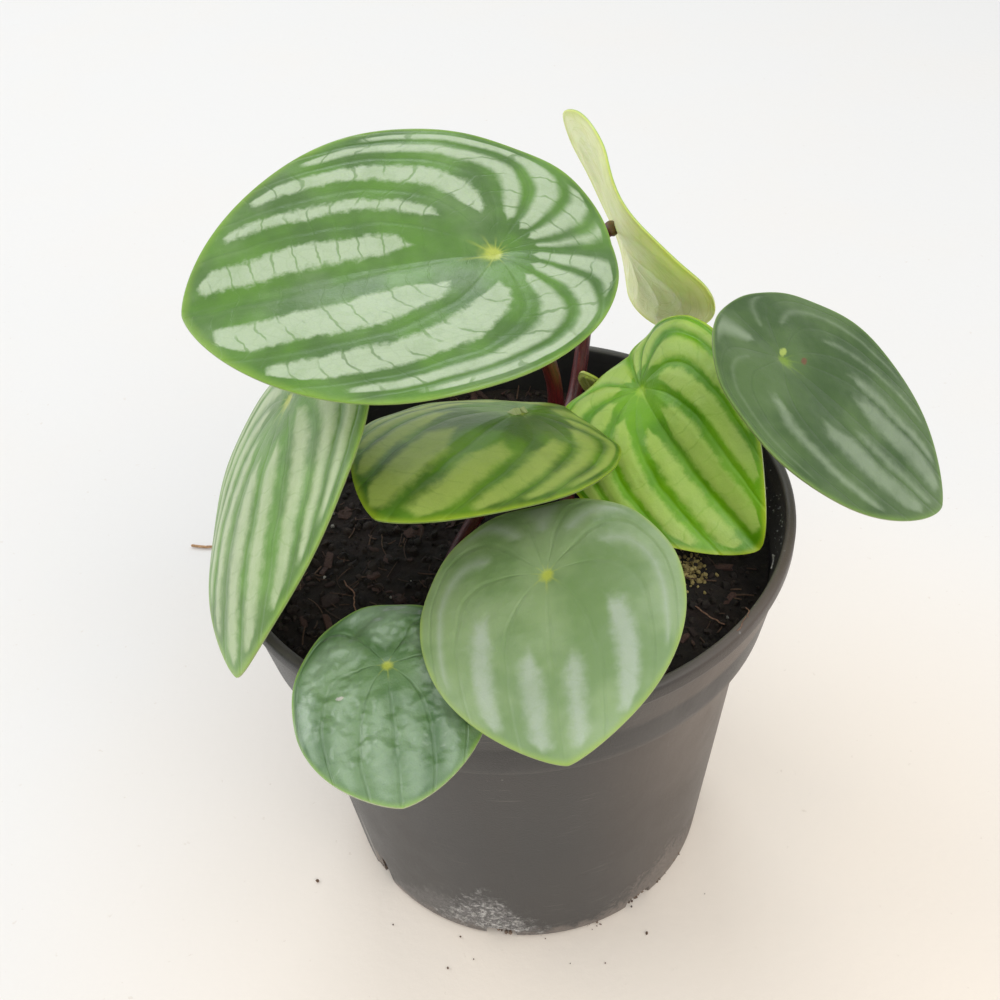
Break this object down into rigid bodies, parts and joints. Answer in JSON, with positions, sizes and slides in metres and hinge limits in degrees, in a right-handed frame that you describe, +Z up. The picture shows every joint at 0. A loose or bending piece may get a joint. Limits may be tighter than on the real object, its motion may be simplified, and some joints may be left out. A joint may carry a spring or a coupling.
{
  "type": "potted peperomia plant",
  "caption": "Small house plant with round striped leaves on long red stalks, growing from a short crown in soil in a tapered nursery pot with a collar.",
  "frame": {"origin": "centre of the flat underside of the pot, on the pot's axis", "axes": "+Z up along the pot's axis, -Y towards the side with the two low front leaves, +X towards the side with the dark leaf that hangs out over the rim"},
  "size_m": [0.1333, 0.1353, 0.1498],
  "materials": {
    "pot": "satin",
    "soil": "matte",
    "crown": "satin",
    "stalk": "satin",
    "leaf_big": "satin",
    "leaf_left": "satin",
    "leaf_middle": "satin",
    "leaf_bright": "satin",
    "leaf_right": "satin",
    "leaf_front": "satin",
    "leaf_low": "satin",
    "leaf_back": "satin",
    "leaf_young": "satin"
  },
  "bodies": {
    "root": {"pot": "pot", "soil": "soil", "crown": "crown", "leaf_big": "leaf_big", "stalk_big": "stalk", "leaf_left": "leaf_left", "stalk_left": "stalk", "leaf_middle": "leaf_middle", "stalk_middle": "stalk", "leaf_bright": "leaf_bright", "stalk_bright": "stalk", "leaf_right": "leaf_right", "stalk_right": "stalk", "leaf_front": "leaf_front", "stalk_front": "stalk", "leaf_low": "leaf_low", "stalk_low": "stalk", "leaf_back": "leaf_back", "stalk_back": "stalk", "leaf_young": "leaf_young", "stalk_young": "stalk"}
  },
  "joints": []
}
